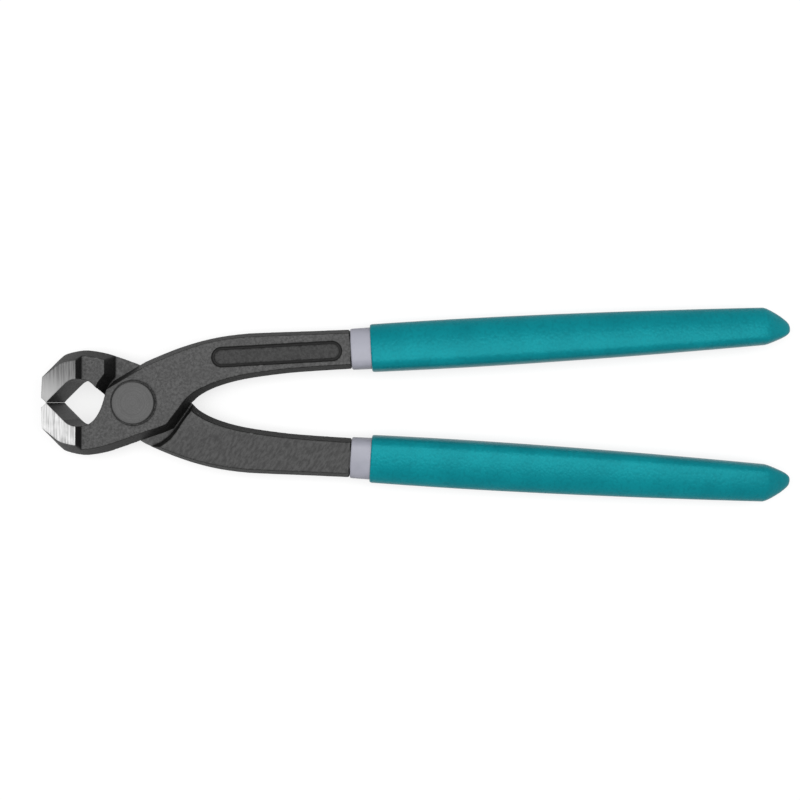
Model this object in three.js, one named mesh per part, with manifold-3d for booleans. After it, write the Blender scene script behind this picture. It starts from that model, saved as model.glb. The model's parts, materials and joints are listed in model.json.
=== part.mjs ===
// Tile nippers of the end-cutting kind, jaws closed: two identical forgings, lapped one over the
// other and turning on a flat-headed rivet, each with a two-layer dipped grip on its handle.
// Millimetres. X runs from the jaws to the grips, Y across the tool in the plane it opens in, and
// Z along the rivet. The origin is under the middle of the tool, on the face it lies on.
import * as THREE from "three";
import { mergeVertices } from "three/addons/utils/BufferGeometryUtils.js";
import Module from "manifold-3d";

const wasm = await Module();
wasm.setup();

// Overall sizes
const jawReach = 29.4; // rivet axis to the front of the jaws
const gripReach = 220.6; // rivet axis to the ends of the grips
const jawWidth = 22; // along the cutting edges
const headHalf = 17.7; // tool's centre line to the back of a jaw

// Jaws
const edgeGap = 0.3; // left between the cutting edges when closed
const lipLength = 1.7; // cutting edge back to the front of the jaw, along the tool
const lipDrop = 1.35; // and across it
const mouthDepth = 7.8; // centre line to the bottom of the mouth
const mouthCorner = 5.6; // mouth's straight bevel, across the tool, down from the edge
const tipLength = 11.3; // of the full-width block behind the cutting edge
const tipSlope = 0.75; // run of the step from the block down to the plate

// Joint
const plate = 6.5; // thickness of each forging where the two lap
const lapGap = 0.3; // between the two lapped faces
const draft = 0.33; // lean of a forged wall from the parting line, per mm of height
const bossGap = 0.5; // between one forging's edge and the other's recess
const bossRadius = 11.1; // rivet axis to the plate's corner at the mouth
const heelRadius = 15.1; // and to its heel
const stopX = -7.6; // wall behind the jaw that the other plate's edge opens towards

// Rivet
const shankRadius = 4.5;
const shankGap = 0.05;
const headRadius = 7.1;
const headProud = 1.3; // above the plate
const headRound = 0.5;
const seatGap = 0.5; // round the head
const seatDepth = 0.4;
const headGap = 0.1; // under the head

// Handle
const barWidth = 13.2; // where the grip starts
const barThickness = 9;
const taperEnd = 26; // where the handle is down to its own thickness
const panelStart = 29; // centres of the ends of the sunk panel
const panelEnd = 66;
const panelHalf = 3.35;
const panelRim = 1; // width of the deeper groove round the panel
const panelDepth = 0.3;
const rimDepth = 0.6;

// Grips
const gripStart = 72.3; // rivet axis to the mouth of the liner
const gripRise = 18.3; // and the handle's middle there, above the centre line
const gripSlope = THREE.MathUtils.degToRad(3.35);
const collar = 6.7; // of liner that shows in front of the sleeve
const mouthHalf = 8.1; // half widths of the sleeve: at its mouth,
const swellHalf = 8.3; // at its widest,
const shoulderHalf = 6.35; // and where its point starts
const swellAt = 36.8; // distances from the liner's mouth
const pointLength = 8.9;
const pointLean = 1.2; // of the point's end, towards the other grip
const noseRadius = 1.7;
const sleeveWall = 0.75;
const linerWall = 0.55;
const gripGap = 0.3; // sleeve to liner, and liner to steel
const lipRound = 0.5;
const tangShort = 7.5; // steel ends this far before the point starts

// Worked out from the sizes above
const front = -jawReach;
const edge = front + lipLength;
const halfJaw = jawWidth / 2;
const halfBar = barThickness / 2;
const tipEnd = front + tipLength;
const gripLength = (gripReach - gripStart) / Math.cos(gripSlope) - pointLean * Math.tan(gripSlope);
const shoulderAt = gripLength - pointLength;
const tangEnd = shoulderAt - tangShort;
const roundSegments = 48;
const farAway = 60;
// A grip's thickness over its width, from the handle's thickness and the coats over it
const flatness = (halfBar + gripGap) / (mouthHalf - sleeveWall - linerWall - gripGap);

const steel = new THREE.MeshStandardMaterial({ color: 0x4c4d50, roughness: 0.5, metalness: 0.85 });
const rivetSteel = new THREE.MeshStandardMaterial({ color: 0x5e5f62, roughness: 0.4, metalness: 0.9 });
const linerVinyl = new THREE.MeshStandardMaterial({ color: 0xa5a3af, roughness: 0.6, metalness: 0 });
const sleeveVinyl = new THREE.MeshStandardMaterial({ color: 0x10848e, roughness: 0.5, metalness: 0 });

// A closed geometry as a solid, and back.
function solid(geometry) {
  const bare = geometry.clone();
  bare.deleteAttribute("normal");
  bare.deleteAttribute("uv");
  const merged = mergeVertices(bare);
  return new wasm.Manifold(
    new wasm.Mesh({
      numProp: 3,
      vertProperties: merged.attributes.position.array,
      triVerts: new Uint32Array(merged.index.array),
    }),
  );
}

function geometryOf(made) {
  const mesh = made.getMesh();
  const geometry = new THREE.BufferGeometry();
  geometry.setAttribute("position", new THREE.BufferAttribute(mesh.vertProperties, 3));
  geometry.setIndex(new THREE.BufferAttribute(mesh.triVerts, 1));
  geometry.computeVertexNormals();
  return geometry;
}

function points(pairs) {
  return pairs.map(([x, y]) => new THREE.Vector2(x, y));
}

function circle(radius) {
  return new THREE.Shape().absarc(0, 0, radius, 0, 2 * Math.PI);
}

// A point at a distance and angle from the rivet's axis.
function around(radius, degrees) {
  const turn = THREE.MathUtils.degToRad(degrees);
  return [radius * Math.cos(turn), radius * Math.sin(turn)];
}

// Straight walls, from z = low to z = high.
function prism(shape, low, high) {
  const settings = { depth: high - low, bevelEnabled: false, curveSegments: roundSegments / 4 };
  return new THREE.ExtrudeGeometry(shape, settings).translate(0, 0, low);
}

// Walls that follow the shape at z = 0 and lean in towards z = +half and -half, or out on a cutter.
function drafted(shape, half, lean, curveSegments) {
  const land = 0.1;
  const inset = half * lean;
  return new THREE.ExtrudeGeometry(shape, {
    depth: land,
    curveSegments,
    bevelSegments: 1,
    bevelThickness: half - land / 2,
    bevelSize: inset,
    bevelOffset: -inset,
  }).translate(0, 0, -land / 2);
}

function box(x0, x1, y0, y1, z0, z1) {
  const middle = [(x0 + x1) / 2, (y0 + y1) / 2, (z0 + z1) / 2];
  return solid(new THREE.BoxGeometry(x1 - x0, y1 - y0, z1 - z0).translate(...middle));
}

// A round-cornered body of the given half widths, from [distance along, half width] pairs.
function gripBody(profile, thickness) {
  const square = 2 / 3; // 1 is an ellipse, and 0 a rectangle
  const geometry = new THREE.LatheGeometry(
    profile.map(([along, half]) => new THREE.Vector2(half, along)),
    28,
  );
  const place = geometry.attributes.position;
  for (let i = 0; i < place.count; i++) {
    const half = Math.hypot(place.getX(i), place.getZ(i)) || 1;
    const across = place.getX(i) / half;
    const up = place.getZ(i) / half;
    place.setX(i, half * Math.sign(across) * Math.abs(across) ** square);
    place.setZ(i, half * thickness * Math.sign(up) * Math.abs(up) ** square);
  }
  return geometry.rotateZ(-Math.PI / 2);
}

// From the grip's own frame, which starts at the liner's mouth, to the forging's.
function atGrip(geometry) {
  return geometry.rotateZ(gripSlope).translate(gripStart, gripRise, 0);
}

// Half width of the sleeve at a distance from the liner's mouth.
function sleeveHalf(along) {
  if (along < swellAt) {
    const before = (swellAt - along) / (swellAt - collar);
    return swellHalf - (swellHalf - mouthHalf) * before ** 2;
  }
  const after = Math.min(1, (along - swellAt) / (shoulderAt - swellAt));
  return swellHalf - (swellHalf - shoulderHalf) * after ** 1.8;
}

// [distance, half width] pairs at even steps, a wall and gaps inside the sleeve's own outline.
function gripWall(from, to, inside) {
  const steps = 11;
  const pairs = [];
  for (let i = 0; i <= steps; i++) {
    const along = from + ((to - from) * i) / steps;
    pairs.push([along, sleeveHalf(along) - inside]);
  }
  return pairs;
}

// Parting-line outline of the forging, with stock left in front for grinding: the jaw is below
// the centre line and the handle above it.
function forgingOutline() {
  const stock = 4;
  const [endX, endY] = [gripStart + 8, gripRise + 8 * Math.tan(gripSlope)];
  const bend = 46.2;
  const straight = bend + 0.32 * (endX - bend);
  const outline = new THREE.Shape();
  outline.moveTo(front - stock, headHalf - 13.8);
  outline.lineTo(front - stock, 7.9 - headHalf);
  outline.splineThru(
    points([
      [front + 0.5, 4.6 - headHalf],
      [front + 4.2, 1.8 - headHalf],
      [front + 8.6, 0.4 - headHalf],
      [front + 13, -headHalf],
      [(front + 13 - 4.3) / 2, 1 - headHalf],
      [-4.3, 2.9 - headHalf],
      around(heelRadius - 2.5, -79.5),
      around(heelRadius - 1.7, -50.1),
    ]),
  );
  outline.lineTo(...around(heelRadius, -35.3));
  outline.lineTo(16.5, -2.9);
  outline.splineThru(
    points([
      [18.8, 0.4],
      [21.8, 3],
      [27.2, 5.6],
      [35.3, 7.9],
      [bend, 9.6],
      [straight, gripRise - 1 - barWidth / 2],
      [endX, endY - barWidth / 2],
    ]),
  );
  outline.lineTo(endX, endY + barWidth / 2);
  outline.splineThru(
    points([
      [straight, gripRise - 0.5 + barWidth / 2],
      [bend, 24],
      [35.3, 23.4],
      [24.5, 21.7],
      [13.7, 18.5],
      [2.8, 14],
    ]),
  );
  outline.lineTo(-7.2, 8);
  outline.lineTo(-14, headHalf - 13.8);
  outline.closePath();
  return outline;
}

// Everything outside the ground front, cutting edge and mouth of the jaw, as one cutter.
function jawCutter() {
  const outside = new THREE.Shape();
  const edgeY = -edgeGap / 2;
  outside.moveTo(front - 10, -headHalf - 6);
  outside.lineTo(front + 9, -headHalf - 6);
  outside.lineTo(front + 0.3, 9.3 - headHalf);
  outside.lineTo(front + 0.1, 12.2 - headHalf);
  outside.lineTo(front, edgeY - lipDrop);
  outside.lineTo(edge, edgeY);
  outside.lineTo(edge + mouthCorner, edgeY - mouthCorner);
  outside.splineThru(
    points([
      [front + 8.9, 0.7 - mouthDepth],
      [front + 11.2, -mouthDepth],
      [-15.6, 0.4 - mouthDepth],
      [-13.4, 1.9 - mouthDepth],
      [-11.6, -3.3],
      around(bossRadius - 0.7, 182.2),
      around(bossRadius - 1.1, 157),
    ]),
  );
  outside.lineTo(...around(bossRadius, 138.3));
  outside.lineTo(stopX, 12);
  outside.lineTo(front - 10, 12);
  outside.closePath();
  return solid(prism(outside, -farAway, farAway));
}

// Thickness of the forging seen from the side: jaw block, plate, taper and handle.
function sideProfile() {
  const side = new THREE.Shape();
  side.moveTo(front - 10, halfJaw);
  side.lineTo(tipEnd, halfJaw);
  side.lineTo(tipEnd + tipSlope, plate);
  side.lineTo(headRadius + 2, plate);
  side.bezierCurveTo(15, plate, 20, halfBar, taperEnd, halfBar);
  side.lineTo(gripStart + 10, halfBar);
  side.lineTo(gripStart + 10, -halfBar);
  side.lineTo(0, -halfBar);
  side.lineTo(0, -plate);
  side.lineTo(tipEnd + tipSlope, -plate);
  side.lineTo(tipEnd, -halfJaw);
  side.lineTo(front - 10, -halfJaw);
  side.closePath();
  return solid(prism(side, -farAway, farAway).rotateX(Math.PI / 2));
}

// The half of the joint that the other forging's plate lies and turns in.
function lapRecess() {
  const half = halfJaw + 1;
  const jawSide = solid(drafted(circle(bossRadius + bossGap), half, -draft, roundSegments / 4));
  const handleSide = solid(drafted(circle(heelRadius + bossGap), half, -draft, roundSegments / 4));
  const behindWall = new THREE.Shape(
    points([
      [stopX, -farAway],
      [6, -farAway],
      [6, 6],
      [0.5, 14],
      [stopX, 14],
    ]),
  );
  const crotch = new THREE.Shape(
    points([
      around(heelRadius + bossGap, 35.3),
      [6, 0],
      [14, -8],
      [22, -3.8],
      [18.8 + 0.8 * bossGap, -0.4 + 0.6 * bossGap],
    ]),
  );
  return jawSide
    .add(handleSide.intersect(box(0, farAway, -farAway, farAway, -farAway, farAway)))
    .add(solid(drafted(behindWall, half, -draft, 1)))
    .add(solid(drafted(crotch, half, -draft, 1)))
    .intersect(box(-farAway, farAway, -2 * farAway, farAway, -farAway, lapGap / 2));
}

// Bore for the rivet, and the seat its head is sunk in.
function rivetHole() {
  const cylinder = (radius, low, high) =>
    solid(
      new THREE.CylinderGeometry(radius, radius, high - low, roundSegments)
        .rotateX(Math.PI / 2)
        .translate(0, 0, (low + high) / 2),
    );
  const bore = cylinder(shankRadius + shankGap, -1, plate + 1);
  return bore.add(cylinder(headRadius + seatGap, plate - seatDepth, plate + 1));
}

// Round-ended panel sunk in the handle's outer face, with a deeper groove round it.
function panelCutter() {
  const length = panelEnd - panelStart;
  const slot = (half) => {
    const shape = new THREE.Shape();
    shape.absarc(0, 0, half, Math.PI / 2, 1.5 * Math.PI);
    shape.absarc(length, 0, half, -Math.PI / 2, Math.PI / 2);
    return shape;
  };
  const rim = solid(prism(slot(panelHalf), halfBar - rimDepth, halfBar + 1));
  const floor = solid(prism(slot(panelHalf - panelRim), 0, halfBar - panelDepth));
  const rise = gripRise - 0.4 - (gripStart - panelStart) * Math.tan(gripSlope);
  const turn = THREE.MathUtils.radToDeg(gripSlope);
  return rim.subtract(floor).rotate([0, 0, turn]).translate([panelStart, rise, 0]);
}

// Steel that carries the grip: slimmed by the two coats and their gaps.
function tang() {
  const inside = sleeveWall + linerWall + 2 * gripGap;
  const lead = 2;
  const body = [[-lead, 0], ...gripWall(-lead, tangEnd, inside), [tangEnd, 0]];
  const thin = (halfBar - 0.1) / (mouthHalf - inside);
  return solid(atGrip(gripBody(body, thin)));
}

function makeForging() {
  const outline = forgingOutline();
  const pastGrip = atGrip(new THREE.BoxGeometry(20, 40, 40).translate(10 - gripGap, 0, 0));
  return solid(drafted(outline, halfJaw, draft, 3))
    .intersect(sideProfile())
    .subtract(jawCutter())
    .subtract(lapRecess())
    .subtract(rivetHole())
    .subtract(panelCutter())
    .subtract(solid(pastGrip))
    .add(tang());
}

// Inner dip: a closed-ended coat over the whole tang, its first stretch left showing.
function makeLiner() {
  const outside = sleeveWall + gripGap;
  const inside = outside + linerWall;
  const outerEnd = tangEnd + gripGap + linerWall;
  const innerEnd = tangEnd + gripGap;
  const body = [
    [innerEnd, 0],
    ...gripWall(0, innerEnd, inside).reverse(),
    ...gripWall(0, outerEnd, outside),
    [outerEnd, 0],
  ];
  return solid(gripBody(body, flatness));
}

// Outer dip: a rounded mouth, a long swell and a pointed end.
function makeSleeve() {
  const inside = sleeveWall;
  const innerEnd = tangEnd + 2 * gripGap + linerWall;
  const noseAt = gripLength - noseRadius;
  const nose = [60, 30, 0].map((degrees) => {
    const turn = THREE.MathUtils.degToRad(90 - degrees);
    return [noseAt + noseRadius * Math.sin(turn), noseRadius * Math.cos(turn)];
  });
  const body = [
    [innerEnd, 0],
    ...gripWall(collar, innerEnd, inside).reverse(),
    [collar, mouthHalf - lipRound],
    [collar + 0.3 * lipRound, mouthHalf - 0.3 * lipRound],
    ...gripWall(collar + lipRound, shoulderAt, 0),
    ...nose,
  ];
  const geometry = gripBody(body, flatness);
  const place = geometry.attributes.position;
  for (let i = 0; i < place.count; i++) {
    const past = Math.max(0, place.getX(i) - shoulderAt) / pointLength;
    place.setY(i, place.getY(i) - pointLean * past);
  }
  return solid(geometry);
}

function makeRivet() {
  const under = plate - seatDepth + headGap;
  const top = plate + headProud;
  const round = 0.3 * headRound;
  const upper = [
    [shankRadius, under],
    [headRadius, under],
    [headRadius, top - headRound],
    [headRadius - round, top - round],
    [headRadius - headRound, top],
    [0, top],
  ];
  const lower = upper.map(([radius, z]) => [radius, -z]).reverse();
  return new THREE.LatheGeometry(points([...lower, ...upper]), roundSegments).rotateX(Math.PI / 2);
}

function named(name, geometry, material) {
  const mesh = new THREE.Mesh(geometry, material);
  mesh.name = name;
  return mesh;
}

const forging = geometryOf(makeForging());
const liner = geometryOf(makeLiner());
const sleeve = geometryOf(makeSleeve());

// One lever with its grip, in the forging's frame: the rivet's axis is Z, and the lap plane z = 0.
function half(side) {
  const group = new THREE.Group();
  const grip = new THREE.Group();
  grip.position.set(gripStart, gripRise, 0);
  grip.rotation.z = gripSlope;
  grip.add(named(`${side}_grip_liner`, liner, linerVinyl));
  grip.add(named(`${side}_grip_sleeve`, sleeve, sleeveVinyl));
  group.add(named(`${side}_lever`, forging, steel), grip);
  return group;
}

const frontHalf = half("front");
frontHalf.add(named("pivot_rivet", makeRivet(), rivetSteel));

const rearHalf = half("rear");
rearHalf.rotation.x = Math.PI;

const nippers = new THREE.Group();
for (const lever of [frontHalf, rearHalf]) {
  lever.position.set((jawReach - gripReach) / 2, 0, halfJaw);
  nippers.add(lever);
}

export default nippers;
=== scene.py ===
# %% [markdown]
# # Tile nippers
# End-cutting nippers for breaking small bites out of tile. Two forged steel levers cross at a
# flat-headed rivet, and each handle is dipped twice: a pale grey liner first, then a teal sleeve.
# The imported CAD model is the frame, so each piece here takes its size and place from a CAD node.

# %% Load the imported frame
import json
import math

import bpy
from mathutils import Matrix, Vector

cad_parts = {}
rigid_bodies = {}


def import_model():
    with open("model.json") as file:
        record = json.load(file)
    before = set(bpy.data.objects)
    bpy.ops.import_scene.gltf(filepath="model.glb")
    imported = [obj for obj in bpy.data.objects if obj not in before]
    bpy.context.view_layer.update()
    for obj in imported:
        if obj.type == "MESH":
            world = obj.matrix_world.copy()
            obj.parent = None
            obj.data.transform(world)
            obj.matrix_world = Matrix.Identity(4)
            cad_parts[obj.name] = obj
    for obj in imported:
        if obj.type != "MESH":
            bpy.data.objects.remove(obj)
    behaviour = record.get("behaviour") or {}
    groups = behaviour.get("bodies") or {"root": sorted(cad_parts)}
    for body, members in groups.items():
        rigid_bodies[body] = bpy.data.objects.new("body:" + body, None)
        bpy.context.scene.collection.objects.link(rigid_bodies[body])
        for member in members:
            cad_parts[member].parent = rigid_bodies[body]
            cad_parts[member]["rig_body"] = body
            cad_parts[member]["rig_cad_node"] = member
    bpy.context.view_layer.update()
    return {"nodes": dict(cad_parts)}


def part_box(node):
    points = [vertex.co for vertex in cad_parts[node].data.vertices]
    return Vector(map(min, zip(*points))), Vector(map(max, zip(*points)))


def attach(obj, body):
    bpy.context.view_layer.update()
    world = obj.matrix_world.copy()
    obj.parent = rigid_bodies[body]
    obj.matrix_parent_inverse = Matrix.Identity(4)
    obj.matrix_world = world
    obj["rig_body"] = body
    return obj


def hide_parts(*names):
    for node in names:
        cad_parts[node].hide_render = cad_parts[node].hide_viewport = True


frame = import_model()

MM = 0.001


# %% [markdown]
# ## Two helpers for modelling by hand
# Every operator acts on what is selected, so one helper selects a single piece, and another picks
# vertices or faces by a rule about where they are.

# %% Selecting pieces and their parts
def only(piece):
    for other in bpy.context.selected_objects:
        other.select_set(False)
    piece.select_set(True)
    bpy.context.view_layer.objects.active = piece


def edit(piece, mode="VERT"):
    only(piece)
    bpy.ops.object.mode_set(mode="EDIT")
    bpy.ops.mesh.select_mode(type=mode)
    bpy.ops.mesh.select_all(action="DESELECT")


def pick_vertices(piece, rule):
    bpy.ops.object.mode_set(mode="OBJECT")
    for vertex in piece.data.vertices:
        vertex.select = rule(vertex.co)
    bpy.ops.object.mode_set(mode="EDIT")


def pick_faces(piece, rule):
    bpy.ops.object.mode_set(mode="OBJECT")
    for face in piece.data.polygons:
        face.select = rule(face)
    bpy.ops.object.mode_set(mode="EDIT")


def done():
    bpy.ops.object.mode_set(mode="OBJECT")


def apply_modifier(piece, kind, **settings):
    only(piece)
    modifier = piece.modifiers.new(kind.title(), kind)
    for setting, value in settings.items():
        setattr(modifier, setting, value)
    bpy.ops.object.modifier_apply(modifier=modifier.name)


# %% [markdown]
# ## The camera
# The tool lies flat and is looked at from straight above its middle, from about 40 cm, with a lens
# a little longer than normal. That keeps the tool nearly true in shape and still shows a little of
# the walls at each end. The camera is turned a sixth of a degree, so the tool lies almost square.

# %% Camera
eye_place = Vector((-6.8, 1.2, 410)) * MM
eye_turn = math.radians(0.16)
eye = bpy.data.cameras.new("eye")
eye.lens = 53.05
eye.sensor_width = 36
camera = bpy.data.objects.new("eye", eye)
bpy.context.scene.collection.objects.link(camera)
camera.location = eye_place
camera.rotation_euler = (0, 0, eye_turn)
bpy.context.scene.camera = camera
print("camera height in mm:", round(eye_place.z / MM), "lens in mm:", round(eye.lens, 2))


# %% [markdown]
# ## A soft overhead light
# A steel tool shows the room it lies in. One long softbox overhead lights the flat faces evenly,
# draws a narrow band of sheen along each grip, and leaves the steep forged walls dark, which is
# what makes the edges of such a tool read.

# %% Light
softbox = bpy.data.lights.new("softbox", "AREA")
softbox.shape = "RECTANGLE"
softbox.size = 1.3
softbox.size_y = 0.5
softbox.energy = 11.0
lamp = bpy.data.objects.new("softbox", softbox)
bpy.context.scene.collection.objects.link(lamp)
lamp.location = (-0.02, 0.03, 0.95)
print("softbox in m:", round(softbox.size, 2), "by", round(softbox.size_y, 2))

world = bpy.data.worlds.new("white room")
bpy.context.scene.world = world
world.use_nodes = True
bpy.context.scene.view_settings.view_transform = "Standard"


# %% [markdown]
# ## Helpers for materials
# A finish is a small tree of nodes. These helpers add a node with its settings and inputs, so
# that each finish below reads as a list of what is mixed with what.

# %% Node helpers
def add(tree, kind, inputs=(), out=0, **settings):
    made = tree.nodes.new("ShaderNode" + kind)
    for setting, value in settings.items():
        setattr(made, setting, value)
    for socket, value in dict(inputs).items():
        if isinstance(value, bpy.types.NodeSocket):
            tree.links.new(value, made.inputs[socket])
        else:
            made.inputs[socket].default_value = value
    return made.outputs[out]


def maths(tree, operation, a, b=0.0):
    return add(tree, "Math", {0: a, 1: b}, operation=operation)


def ramp(tree, value, low, high, start=0.0, end=1.0):
    """A smooth step from start to end as value goes from low to high."""
    ends = {"Value": value, "From Min": low, "From Max": high, "To Min": start, "To Max": end}
    return add(tree, "MapRange", ends, interpolation_type="SMOOTHSTEP")


def mixed(tree, factor, a, b):
    """Colour a turned into colour b by factor."""
    return add(tree, "Mix", {0: factor, 6: a, 7: b}, out=2, data_type="RGBA")


def noise(tree, place, scale, detail=2.0, roughness=0.5):
    inputs = {"Vector": place, "Scale": scale, "Detail": detail, "Roughness": roughness}
    return add(tree, "TexNoise", inputs)


def grey(value):
    return (value, value, value, 1.0)


def finish(name):
    """A new material, its tree, its shader and the place of each point on the object."""
    made = bpy.data.materials.new(name)
    made.use_nodes = True
    tree = made.node_tree
    shader = tree.nodes["Principled BSDF"]
    place = add(tree, "TexCoord", out=3)
    return made, tree, shader, place


# %% [markdown]
# ## A white world and a sheet of white paper
# The world and the floor are white to the eye and in reflections, and dim as a source of light,
# so it is mostly the softbox that shapes the tool.

# %% World and floor
def seen_directly(tree):
    """One for what the eye sees, straight or in a reflection, and nought for scattered light."""
    rays = tree.nodes.new("ShaderNodeLightPath").outputs
    seen = maths(tree, "MAXIMUM", rays["Is Camera Ray"], rays["Is Glossy Ray"])
    return maths(tree, "MAXIMUM", seen, rays["Is Transmission Ray"])


world_dim = 0.3
floor_drop = 0.05 * MM
paper_glow = 0.7
white_room = world.node_tree
strength = ramp(white_room, seen_directly(white_room), 0, 1, world_dim, 1.0)
background = white_room.nodes["Background"]
background.inputs["Color"].default_value = grey(1)
white_room.links.new(strength, background.inputs["Strength"])

bpy.ops.mesh.primitive_plane_add(size=6, location=(0, 0, -floor_drop))
floor = bpy.context.object
floor.name = "floor"
paper = bpy.data.materials.new("white paper")
paper.use_nodes = True
tree = paper.node_tree
tree.nodes.remove(tree.nodes["Principled BSDF"])
dim = add(tree, "BsdfDiffuse", {"Color": grey(0.35)})
lit = add(tree, "BsdfDiffuse", {"Color": grey(0.96)})
glow = add(tree, "Emission", {"Color": grey(1), "Strength": 1.0})
bright = add(tree, "MixShader", {0: paper_glow, 1: lit, 2: glow})
paper_mix = add(tree, "MixShader", {0: seen_directly(tree), 1: dim, 2: bright})
tree.links.new(paper_mix, tree.nodes["Material Output"].inputs["Surface"])
floor.data.materials.append(paper)
print("floor below the tool by mm:", round(floor_drop / MM, 2))


# %% [markdown]
# ## Where the pieces are
# The rivet's node gives the axis that the tool turns on, and the boxes of the levers give the
# middle plane of the tool. The rear lever is the front one turned half a turn about the line that
# runs along the tool through the rivet, so one lever and one grip are modelled and then copied.
# Each handle leans a little outwards, and its grip starts at the mouth of the liner.

# %% Measures from the frame
rivet_low, rivet_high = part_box("pivot_rivet")
axis = (rivet_low + rivet_high) / 2
lever_low, lever_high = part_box("front_lever")
half_jaw = (lever_high.z - lever_low.z) / 2
front = lever_low.x
grip_slope = math.radians(3.35)
grip_from_axis = 72.3 * MM
grip_off_middle = 18.3 * MM
mouth = Vector((axis.x + grip_from_axis, grip_off_middle, axis.z))
to_rear = Matrix.Translation(axis) @ Matrix.Rotation(math.pi, 4, "X") @ Matrix.Translation(-axis)
print("rivet axis in mm:", [round(side / MM, 2) for side in axis])


def rear_copy(piece, name):
    """The same piece on the other lever."""
    only(piece)
    bpy.ops.object.duplicate()
    copied = bpy.context.object
    copied.name = name
    copied.data.name = name
    copied.data.transform(to_rear)
    return copied


# %% [markdown]
# ## The forged levers
# A lever is drop-forged, so its walls lean and its corners are soft everywhere but at the jaw,
# which is ground afterwards. The CAD node has the right walls and crisp corners. It is copied,
# its loose triangles are merged, and it is remeshed in fine voxels and smoothed a little, which
# rounds every corner by a few tenths of a millimetre, as the dies do.

# %% Front lever from its CAD node
voxel = 0.37 * MM
only(frame["nodes"]["front_lever"])
bpy.ops.object.duplicate()
front_forging = bpy.context.object
front_forging.name = "front_forging"
front_forging.data.name = "front_forging"
front_forging.parent = None
del front_forging["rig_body"]
del front_forging["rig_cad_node"]
edit(front_forging)
bpy.ops.mesh.select_all(action="SELECT")
bpy.ops.mesh.remove_doubles(threshold=0.001 * MM)
done()
only(front_forging)
front_forging.data.remesh_voxel_size = voxel
bpy.ops.object.voxel_remesh()
apply_modifier(front_forging, "SMOOTH", factor=0.5, iterations=3)
print("front forging:", len(front_forging.data.polygons), "faces")

# %% [markdown]
# The smoothing has blunted the cutting edge, which is ground sharp on the real tool. The vertices
# along the edge are pulled out until the two jaws almost meet, with a sharp falloff behind them.

# %% Sharpen the cutting edge
edge_x = front + 1.7 * MM
edge_band = 0.7 * MM
edge_lip = 0.05 * MM
edge_space = 0.03 * MM
falloff = 1.3 * MM
edit(front_forging)
blunt = max(vertex.co.y for vertex in front_forging.data.vertices if vertex.co.x < edge_x)
pick_vertices(
    front_forging, lambda co: co.x < edge_x + edge_band and blunt - edge_lip < co.y < 0
)
bpy.ops.transform.translate(
    value=(0, -blunt - edge_space, 0),
    use_proportional_edit=True,
    proportional_size=falloff,
    proportional_edit_falloff="SHARP",
)
done()
print("cutting edge moved by", round((-blunt - edge_space) / MM, 3), "mm")

# %% Smooth shading and the rear lever
only(front_forging)
bpy.ops.object.shade_smooth_by_angle(angle=math.radians(40))
rear_forging = rear_copy(front_forging, "rear_forging")
print("rear forging:", len(rear_forging.data.polygons), "faces")
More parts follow.
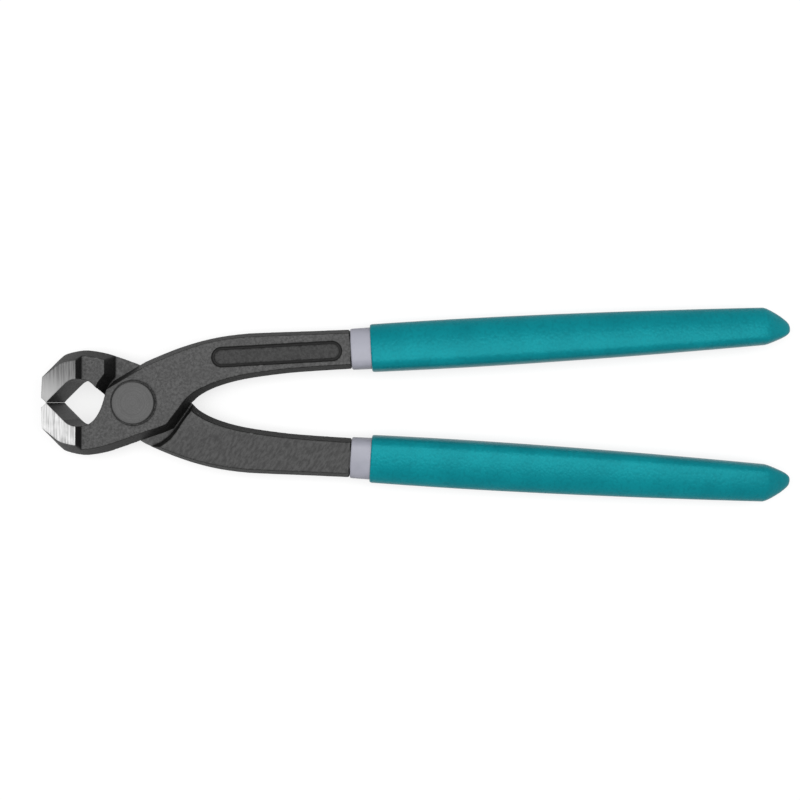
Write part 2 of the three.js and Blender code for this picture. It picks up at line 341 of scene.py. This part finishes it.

# %% [markdown]
# ## The finish of the levers
# Forged steel, shot-blasted and blackened. Flat faces are a dark satin grey. The leaning walls are
# painted near black by the way they face, which is painted shade, and the creases and the groove
# of the sunk panel get painted shade too. The side faces of the jaws are ground bright, with
# streaks across the tool, painted glints, and a painted fall-off of reflection across the rear
# jaw. Corners are painted lighter, partly as wear and partly as painted highlight.


# %% Blackened forged steel with ground jaws
def forged_finish():
    made, tree, shader, place = finish("forged_steel")
    parts = tree.nodes.new("ShaderNodeSeparateXYZ")
    tree.links.new(place, parts.inputs[0])
    x, y, z = parts.outputs
    geometry = tree.nodes.new("ShaderNodeNewGeometry")
    facing = tree.nodes.new("ShaderNodeSeparateXYZ")
    tree.links.new(geometry.outputs["Normal"], facing.inputs[0])
    flat = ramp(tree, maths(tree, "ABSOLUTE", facing.outputs["Z"]), 0.72, 0.93)
    height = maths(tree, "SUBTRACT", z, axis.z)
    level = maths(tree, "ABSOLUTE", height)

    # Grain of the blasted face: coarse blotches and fine sand
    blotch = noise(tree, place, 260, 3)
    sand = noise(tree, place, 1150, 4, 0.7)
    slant = {"Vector": place, "Rotation": (0, 0, -0.6), "Scale": (1, 2.6, 1)}
    turned = add(tree, "Mapping", slant, vector_type="TEXTURE")
    drag = noise(tree, turned, 1100, 3, 0.6)
    face = mixed(tree, ramp(tree, sand, 0.36, 0.64), grey(0.038), grey(0.092))
    face = mixed(tree, ramp(tree, blotch, 0.3, 0.7, 0, 0.35), face, grey(0.045))
    rear = ramp(tree, y, -0.004, -0.012)
    rear = maths(tree, "MULTIPLY", rear, ramp(tree, x, axis.x + 4 * MM, axis.x + 16 * MM))
    dragged = mixed(tree, ramp(tree, drag, 0.34, 0.66), grey(0.026), grey(0.064))
    face = mixed(tree, maths(tree, "MULTIPLY", rear, 0.75), face, dragged)
    # The leaning walls get a near-black colour by the way they face: painted shade
    wall = mixed(tree, ramp(tree, sand, 0.3, 0.7), grey(0.004), grey(0.012))
    colour = mixed(tree, flat, wall, face)

    # Sunk panel on the outer face of each handle: a round-ended darker floor inside a groove
    # painted near black, which is painted shade
    side = maths(tree, "ABSOLUTE", y)
    outer = maths(tree, "GREATER_THAN", maths(tree, "MULTIPLY", height, y), 0)
    length = 37 * MM
    from_axis = 29 * MM
    towards_middle = 0.4 * MM
    fall = (grip_from_axis - from_axis) * math.tan(grip_slope)
    start = Vector((axis.x + from_axis, grip_off_middle - towards_middle - fall, 0))
    flat_place = add(tree, "CombineXYZ", {0: x, 1: side, 2: 0.0})
    centred = add(tree, "VectorMath", {0: flat_place, 1: start}, operation="SUBTRACT")
    turn = {"Vector": centred, "Angle": -grip_slope}
    panel = add(tree, "VectorRotate", turn, rotation_type="Z_AXIS")
    along_across = tree.nodes.new("ShaderNodeSeparateXYZ")
    tree.links.new(panel, along_across.inputs[0])
    along, across, _ = along_across.outputs
    from_centre = maths(tree, "ABSOLUTE", maths(tree, "SUBTRACT", along, length / 2))
    past = maths(tree, "MAXIMUM", maths(tree, "SUBTRACT", from_centre, length / 2), 0.0)
    offset = add(tree, "CombineXYZ", {0: past, 1: across, 2: 0.0})
    distance = add(tree, "VectorMath", {0: offset}, out=1, operation="LENGTH")
    inside = ramp(tree, distance, 3.6 * MM, 3.2 * MM)
    floor_of_panel = ramp(tree, distance, 2.55 * MM, 2.2 * MM)
    inside = maths(tree, "MULTIPLY", inside, outer)
    floor_colour = mixed(tree, ramp(tree, sand, 0.3, 0.7), grey(0.014), grey(0.048))
    # The groove round the floor is painted shade
    groove_shade_and_floor = mixed(tree, floor_of_panel, grey(0.001), floor_colour)
    colour = mixed(tree, maths(tree, "MULTIPLY", inside, flat), colour, groove_shade_and_floor)

    # Corners painted lighter, partly wear and partly painted highlight, and creases painted dark
    # as painted shade
    corner_highlight_and_wear = ramp(tree, geometry.outputs["Pointiness"], 0.53, 0.6, 0, 0.5)
    colour = mixed(tree, corner_highlight_and_wear, colour, grey(0.13))
    crease_shade = ramp(tree, geometry.outputs["Pointiness"], 0.49, 0.44, 0, 0.8)
    colour = mixed(tree, crease_shade, colour, grey(0.008))

    # Ground side faces and front of the jaws, with painted glints, and a painted fall-off of
    # reflection on the rear jaw
    ground = ramp(tree, level, half_jaw - 0.22 * MM, half_jaw - 0.1 * MM)
    nose = ramp(tree, x, front + 0.75 * MM, front + 0.55 * MM)
    ground = maths(tree, "MAXIMUM", ground, nose)
    brushed = add(tree, "Mapping", {"Vector": place, "Scale": (1900, 90, 900)})
    streaks = noise(tree, brushed, 1.0, 3, 0.6)
    glints = noise(tree, place, 420, 2)
    bright = mixed(tree, ramp(tree, streaks, 0.28, 0.68), grey(0.30), grey(0.66))
    bright = mixed(tree, ramp(tree, glints, 0.35, 0.7, 0, 0.35), bright, grey(0.80))
    slanted = maths(tree, "MULTIPLY", x, 0.6)
    slanted = maths(tree, "ADD", maths(tree, "MULTIPLY", y, 1.3), slanted)
    # The rear jaw's ground face is painted darker towards one corner: a painted fall-off of its
    # reflection
    painted_reflection_falloff = ramp(tree, slanted, -0.072, -0.055)
    rear_ground_with_painted_falloff = mixed(tree, painted_reflection_falloff, grey(0.36), grey(0.06))
    rear_ground_with_painted_falloff = mixed(tree, ramp(tree, streaks, 0.3, 0.7, 0, 0.35), rear_ground_with_painted_falloff, grey(0.4))
    bright = mixed(tree, ramp(tree, y, -0.0001, 0.0001), bright, rear_ground_with_painted_falloff)
    colour = mixed(tree, ground, colour, bright)
    tree.links.new(colour, shader.inputs["Base Color"])

    shader.inputs["Metallic"].default_value = 0.0
    shader.inputs["Specular IOR Level"].default_value = 0.14
    rough = ramp(tree, sand, 0.3, 0.7, 0.48, 0.6)
    rough = add(tree, "Mix", {0: ground, 2: rough, 3: 0.33}, data_type="FLOAT")
    tree.links.new(rough, shader.inputs["Roughness"])
    relief = add(tree, "Mix", {0: ground, 2: sand, 3: streaks}, data_type="FLOAT")
    bump = add(tree, "Bump", {"Height": relief, "Strength": 0.6, "Distance": 0.07 * MM})
    tree.links.new(bump, shader.inputs["Normal"])
    return made


forged = forged_finish()
for forging in (front_forging, rear_forging):
    forging.data.materials.clear()
    forging.data.materials.append(forged)
print("forged steel nodes:", len(forged.node_tree.nodes))

# %% [markdown]
# ## The rivet
# A turned steel pin whose two heads are pressed flat, with a fine round corner and the faint rings
# that the press leaves. A cylinder makes the shank. Each end face is then widened into a head by
# extrude and scale, its corner is bevelled, and a few insets pressed in a hair make the rings.

# %% Rivet
head_radius = (rivet_high.x - rivet_low.x) / 2
shank_radius = 4.5 * MM
head_height = 1.6 * MM
head_corner = 0.42 * MM
flush = 0.01 * MM
press_rings = (  # inset and depth of each ring, in mm
    (1.0, 0.0), (0.25, -0.03), (0.9, 0.0), (0.25, 0.03), (1.2, -0.02), (1.1, 0.0),
)
shank_length = rivet_high.z - rivet_low.z - 2 * head_height
bpy.ops.object.select_all(action="DESELECT")
bpy.ops.mesh.primitive_cylinder_add(
    vertices=96, radius=shank_radius, depth=shank_length, location=axis
)
rivet = bpy.context.object
rivet.name = "rivet"
bpy.ops.object.transform_apply(location=True, rotation=True, scale=True)


def pick_end(height):
    """Pick the round face at a height along the rivet."""
    pick_faces(
        rivet, lambda face: abs(face.center.z - height) < flush and len(face.vertices) > 4
    )


for end in (1, -1):
    edit(rivet, "FACE")
    pick_end(axis.z + end * shank_length / 2)
    wider = head_radius / shank_radius
    bpy.ops.mesh.extrude_region_move()
    bpy.ops.transform.resize(value=(wider, wider, 1), center_override=axis)
    bpy.ops.mesh.extrude_region_move(
        TRANSFORM_OT_translate={"value": (0, 0, end * head_height)}
    )
    bpy.ops.mesh.select_mode(type="EDGE")
    bpy.ops.mesh.region_to_loop()
    bpy.ops.mesh.bevel(offset=head_corner, segments=4, profile=0.5, affect="EDGES")
    bpy.ops.mesh.select_mode(type="FACE")
    pick_end(axis.z + end * (shank_length / 2 + head_height))
    for width, press in press_rings:
        bpy.ops.mesh.inset(thickness=width * MM, depth=press * MM)
    done()
edit(rivet)
bpy.ops.mesh.select_all(action="SELECT")
bpy.ops.mesh.normals_make_consistent(inside=False)
done()
bpy.ops.object.shade_smooth_by_angle(angle=math.radians(35))
print("rivet:", len(rivet.data.polygons), "faces")


# %% Rivet steel
def rivet_finish():
    made, tree, shader, place = finish("rivet_steel")
    centred = add(tree, "VectorMath", {0: place, 1: axis}, operation="SUBTRACT")
    flat_place = add(tree, "VectorMath", {0: centred, 1: (1, 1, 0)}, operation="MULTIPLY")
    radius = add(tree, "VectorMath", {0: flat_place}, out=1, operation="LENGTH")
    turning = add(tree, "CombineXYZ", {0: radius, 1: 0.0, 2: 0.0})
    rings = noise(tree, turning, 2600, 3, 0.7)
    sand = noise(tree, place, 1500, 4, 0.6)
    blotch = noise(tree, place, 300, 3)
    colour = mixed(tree, ramp(tree, sand, 0.3, 0.7), grey(0.030), grey(0.056))
    colour = mixed(tree, ramp(tree, rings, 0.35, 0.65, 0, 0.6), colour, grey(0.085))
    colour = mixed(tree, ramp(tree, blotch, 0.35, 0.7, 0, 0.4), colour, grey(0.042))
    pits_and_pebble_shade = ramp(tree, noise(tree, place, 520, 1), 0.25, 0.2, 0, 0.8)
    colour = mixed(tree, pits_and_pebble_shade, colour, grey(0.03))
    # The rounded corner of each head is painted darker: painted shade
    rim_shade = ramp(tree, radius, head_radius - 0.45 * MM, head_radius - 0.1 * MM)
    colour = mixed(tree, rim_shade, colour, grey(0.03))
    tree.links.new(colour, shader.inputs["Base Color"])
    shader.inputs["Specular IOR Level"].default_value = 0.3
    tree.links.new(ramp(tree, sand, 0.3, 0.7, 0.42, 0.55), shader.inputs["Roughness"])
    relief = maths(tree, "ADD", maths(tree, "MULTIPLY", rings, 0.6), sand)
    bump = add(tree, "Bump", {"Height": relief, "Strength": 0.25, "Distance": 0.04 * MM})
    tree.links.new(bump, shader.inputs["Normal"])
    return made


rivet.data.materials.append(rivet_finish())

# %% [markdown]
# ## The dipped grips
# A handle is dipped in soft vinyl twice. Each coat is a thin skin that follows the steel. Its
# section is highest a little towards the middle of the tool, and falls away longer on the outer
# side. One ring of that section is a circle pushed into shape, and squared a little to clear the
# corners of the steel. It is then extruded and scaled ring by ring, in a walk round the wall.

# %% Section and stations of a coat
sleeve_low, sleeve_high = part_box("front_grip_sleeve")
point_lean = 1.2 * MM
grip_length = (sleeve_high.x - mouth.x) / math.cos(grip_slope) - point_lean * math.tan(grip_slope)
point_length = 8.9 * MM
shoulder = grip_length - point_length
swell_at = 36.8 * MM
collar = 6.7 * MM
swell_half = 8.3 * MM
mouth_half = 8.1 * MM
shoulder_half = 6.35 * MM
depth_ratio = (sleeve_high.z - sleeve_low.z) / 2 / swell_half
crest = -0.4  # of the half width, towards the middle of the tool
outer_power, inner_power, depth_power = 0.87, 0.7, 0.82  # below 1 is squarer than a circle
print("grip length in mm:", round(grip_length / MM, 2), "depth over width:", round(depth_ratio, 3))


def half_width(along):
    """Half width of the sleeve at a distance from the liner's mouth."""
    if along < swell_at:
        before = (swell_at - along) / (swell_at - collar)
        return swell_half - (swell_half - mouth_half) * before**2
    after = min(1, (along - swell_at) / (shoulder - swell_at))
    return swell_half - (swell_half - shoulder_half) * after**1.8


def coat(name, stations):
    """A closed skin along X, walked round its wall by (distance, half width, lean) stations."""
    bpy.ops.object.select_all(action="DESELECT")
    first, half, _ = stations[0]
    bpy.ops.mesh.primitive_circle_add(
        vertices=64, radius=half, location=(first, 0, 0), rotation=(0, math.pi / 2, 0)
    )
    piece = bpy.context.object
    piece.name = name
    bpy.ops.object.transform_apply(location=True, rotation=True, scale=True)
    for vertex in piece.data.vertices:
        across, up = vertex.co.y / half, vertex.co.z / half
        power = outer_power if across > 0 else inner_power
        reach = 1 - crest if across > 0 else 1 + crest
        vertex.co.y = half * (crest + reach * math.copysign(abs(across) ** power, across))
        vertex.co.z = half * depth_ratio * math.copysign(abs(up) ** depth_power, up)
    edit(piece, "EDGE")
    bpy.ops.mesh.select_all(action="SELECT")
    before = stations[0]
    for station in stations[1:]:
        step = station[0] - before[0]
        lean = station[2] - before[2]
        bpy.ops.mesh.extrude_region_move(TRANSFORM_OT_translate={"value": (step, lean, 0)})
        ratio = station[1] / before[1]
        centre = (station[0], station[2], 0)
        bpy.ops.transform.resize(value=(1, ratio, ratio), center_override=centre)
        before = station
    bpy.ops.mesh.edge_face_add()
    bpy.ops.mesh.select_all(action="DESELECT")
    bpy.ops.mesh.select_non_manifold()
    bpy.ops.mesh.edge_face_add()
    bpy.ops.mesh.select_all(action="SELECT")
    bpy.ops.mesh.normals_make_consistent(inside=False)
    done()
    return piece


def put_on_handle(piece):
    only(piece)
    piece.data.transform(Matrix.Translation(mouth) @ Matrix.Rotation(grip_slope, 4, "Z"))


def along_wall(start, end, inside, steps):
    """Stations along a wall that lies a little inside the sleeve's own outline."""
    distances = [start + (end - start) * step / steps for step in range(steps + 1)]
    return [(along, half_width(along) - inside, 0.0) for along in distances]


def rounded_lip(at, outline, wall):
    """Stations round the mouth of a coat, from its inner wall to its outer one."""
    return [
        (at + fore * wall, outline - inward * wall, 0.0)
        for fore, inward in ((0.1, 0.86), (0, 0.66), (0.08, 0.42), (0.3, 0.2), (0.65, 0.06))
    ]


# %% [markdown]
# The walk round the sleeve's wall starts inside, at the end of the steel, comes out to the rolled
# lip at the mouth, and goes back along the outside to the point. The point leans inwards.

# %% Sleeve
sleeve_wall = 0.75 * MM
liner_wall = 0.55 * MM
coat_gap = 0.3 * MM
tang_end = shoulder - 7.5 * MM
behind_lip = 0.3 * MM
point = (  # share of the point's length, half width and lean at each station
    (0.12, 0.955, 0.05), (0.28, 0.86, 0.17), (0.46, 0.735, 0.36), (0.64, 0.60, 0.58),
    (0.80, 0.455, 0.80), (0.90, 0.34, 0.92), (0.96, 0.24, 0.98), (0.99, 0.14, 1.0),
    (1.0, 0.05, 1.0),
)
sleeve_end = tang_end + liner_wall + 2 * coat_gap
front_sleeve = coat(
    "front_sleeve",
    along_wall(sleeve_end, collar + behind_lip, sleeve_wall, 20)
    + rounded_lip(collar, half_width(collar), sleeve_wall)
    + along_wall(collar + 0.8 * MM, shoulder, 0, 30)
    + [
        (shoulder + share * point_length, half * shoulder_half, -lean * point_lean)
        for share, half, lean in point
    ],
)
put_on_handle(front_sleeve)
bpy.ops.object.shade_smooth_by_angle(angle=math.radians(50))
print("sleeve:", len(front_sleeve.data.polygons), "faces")

# %% [markdown]
# The liner is made in the same walk, a gap inside the sleeve, and closes just past the steel.

# %% Liner
liner_inside = sleeve_wall + coat_gap
liner_end = tang_end + coat_gap
front_liner = coat(
    "front_liner",
    along_wall(liner_end, behind_lip, liner_inside + liner_wall, 16)
    + rounded_lip(0, half_width(0) - liner_inside, liner_wall)
    + along_wall(0.6 * MM, liner_end + liner_wall, liner_inside, 20),
)
put_on_handle(front_liner)
bpy.ops.object.shade_smooth_by_angle(angle=math.radians(50))
print("liner:", len(front_liner.data.polygons), "faces")

# %% Rear grip
rear_sleeve = rear_copy(front_sleeve, "rear_sleeve")
rear_liner = rear_copy(front_liner, "rear_liner")
print("rear grip:", rear_sleeve.name, "and", rear_liner.name)


# %% [markdown]
# ## The vinyl finishes
# The teal coat is soft vinyl with a fine pebble all over and a satin sheen. The liner under it is
# smoother, a pale lavender grey. Both vary a little in shade where the dip ran thicker.

# %% Teal sleeve vinyl
def sleeve_finish():
    made, tree, shader, place = finish("sleeve_vinyl")
    cells = {"Vector": place, "Scale": 1200.0, "Randomness": 1.0}
    pebble = add(tree, "TexVoronoi", cells, feature="SMOOTH_F1")
    grain = noise(tree, place, 2400, 3, 0.6)
    cloud = noise(tree, place, 90, 3)
    deep, light = (0.0012, 0.148, 0.178, 1), (0.0018, 0.176, 0.208, 1)
    base = mixed(tree, ramp(tree, cloud, 0.3, 0.7), deep, light)
    # Darker between the pebbles: painted shade in their hollows
    pits_and_pebble_shade = ramp(tree, pebble, 0.35, 0.75, 0, 0.3)
    base = mixed(tree, pits_and_pebble_shade, base, (0.001, 0.095, 0.118, 1))
    tree.links.new(base, shader.inputs["Base Color"])
    tree.links.new(ramp(tree, grain, 0.3, 0.7, 0.32, 0.44), shader.inputs["Roughness"])
    shader.inputs["Specular IOR Level"].default_value = 0.42
    shader.inputs["Specular Tint"].default_value = (0.10, 0.95, 1.0, 1.0)
    bumps = maths(tree, "MULTIPLY", pebble, -1.0)
    relief = maths(tree, "ADD", bumps, maths(tree, "MULTIPLY", grain, 0.5))
    bump = add(tree, "Bump", {"Height": relief, "Strength": 0.85, "Distance": 0.08 * MM})
    tree.links.new(bump, shader.inputs["Normal"])
    return made


# %% Pale liner vinyl
def liner_finish():
    made, tree, shader, place = finish("liner_vinyl")
    cloud = noise(tree, place, 160, 3)
    grain = noise(tree, place, 2000, 3, 0.6)
    deep, light = (0.275, 0.278, 0.325, 1), (0.32, 0.323, 0.375, 1)
    base = mixed(tree, ramp(tree, cloud, 0.3, 0.7), deep, light)
    base = mixed(tree, ramp(tree, grain, 0.3, 0.7, 0, 0.2), base, (0.30, 0.305, 0.35, 1))
    tree.links.new(base, shader.inputs["Base Color"])
    tree.links.new(ramp(tree, cloud, 0.3, 0.7, 0.42, 0.52), shader.inputs["Roughness"])
    shader.inputs["Specular IOR Level"].default_value = 0.35
    bump = add(tree, "Bump", {"Height": grain, "Strength": 0.2, "Distance": 0.03 * MM})
    tree.links.new(bump, shader.inputs["Normal"])
    return made


teal = sleeve_finish()
pale = liner_finish()
for sleeve in (front_sleeve, rear_sleeve):
    sleeve.data.materials.append(teal)
for liner in (front_liner, rear_liner):
    liner.data.materials.append(pale)
print("vinyls:", teal.name, "and", pale.name)

# %% [markdown]
# ## What each piece stands for and moves with
# Each finished piece takes the place of one CAD node, which is hidden, and rides on that node's
# body, so the two halves of the tool open about the rivet.

# %% Bodies, nodes and slots
for piece, node, body, slot in (
    (front_forging, "front_lever", "front_half", "forged_steel"),
    (rear_forging, "rear_lever", "rear_half", "forged_steel"),
    (rivet, "pivot_rivet", "front_half", "rivet_steel"),
    (front_liner, "front_grip_liner", "front_half", "liner_vinyl"),
    (rear_liner, "rear_grip_liner", "rear_half", "liner_vinyl"),
    (front_sleeve, "front_grip_sleeve", "front_half", "sleeve_vinyl"),
    (rear_sleeve, "rear_grip_sleeve", "rear_half", "sleeve_vinyl"),
):
    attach(piece, body)
    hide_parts(node)
    corners = [piece.matrix_world @ Vector(corner) for corner in piece.bound_box]
    low = [min(corner[side] for corner in corners) for side in range(3)]
    high = [max(corner[side] for corner in corners) for side in range(3)]
    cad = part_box(node)
    print(piece.name, "differs from its node by", [
        [round((here[side] - there[side]) / MM, 2) for side in range(3)]
        for here, there in ((low, cad[0]), (high, cad[1]))
    ])
